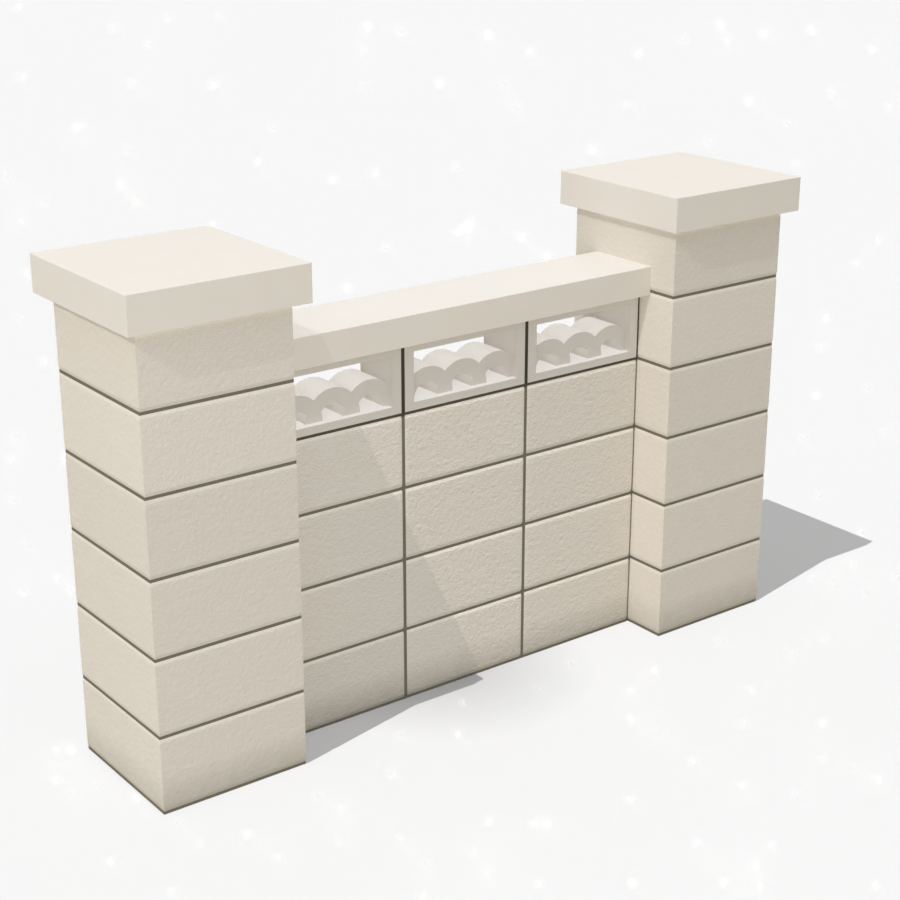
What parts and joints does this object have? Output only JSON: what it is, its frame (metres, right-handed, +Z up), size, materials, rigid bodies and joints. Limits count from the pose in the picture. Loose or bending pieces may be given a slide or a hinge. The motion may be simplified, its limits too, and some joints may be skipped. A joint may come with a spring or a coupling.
{
  "type": "concrete block wall",
  "caption": "One bay of garden wall in roughcast concrete block between two capped square pillars, with a coping over a course of openwork wave blocks.",
  "frame": {"origin": "on the ground, midway between the pillars and in the middle of the wall's thickness", "axes": "+X along the wall to the right pillar, +Y through the wall to its back, +Z up"},
  "size_m": [2.068, 0.468, 1.285],
  "materials": {
    "roughcast_block": "matte",
    "openwork_concrete": "matte",
    "cast_concrete": "matte",
    "mortar": "matte"
  },
  "bodies": {
    "root": {"left_pillar_block_1": "roughcast_block", "left_pillar_block_2": "roughcast_block", "left_pillar_block_3": "roughcast_block", "left_pillar_block_4": "roughcast_block", "left_pillar_block_5": "roughcast_block", "left_pillar_block_6": "roughcast_block", "left_pillar_mortar": "mortar", "left_pillar_cap": "cast_concrete", "right_pillar_block_1": "roughcast_block", "right_pillar_block_2": "roughcast_block", "right_pillar_block_3": "roughcast_block", "right_pillar_block_4": "roughcast_block", "right_pillar_block_5": "roughcast_block", "right_pillar_block_6": "roughcast_block", "right_pillar_mortar": "mortar", "right_pillar_cap": "cast_concrete", "wall_course_1_block_1": "roughcast_block", "wall_course_1_block_2": "roughcast_block", "wall_course_1_block_3": "roughcast_block", "wall_course_2_block_1": "roughcast_block", "wall_course_2_block_2": "roughcast_block", "wall_course_2_block_3": "roughcast_block", "wall_course_3_block_1": "roughcast_block", "wall_course_3_block_2": "roughcast_block", "wall_course_3_block_3": "roughcast_block", "wall_course_4_block_1": "roughcast_block", "wall_course_4_block_2": "roughcast_block", "wall_course_4_block_3": "roughcast_block", "wall_mortar": "mortar", "wall_upright_mortar": "mortar", "openwork_block_1": "openwork_concrete", "openwork_block_2": "openwork_concrete", "openwork_block_3": "openwork_concrete", "openwork_mortar": "mortar", "coping": "cast_concrete"}
  },
  "joints": []
}
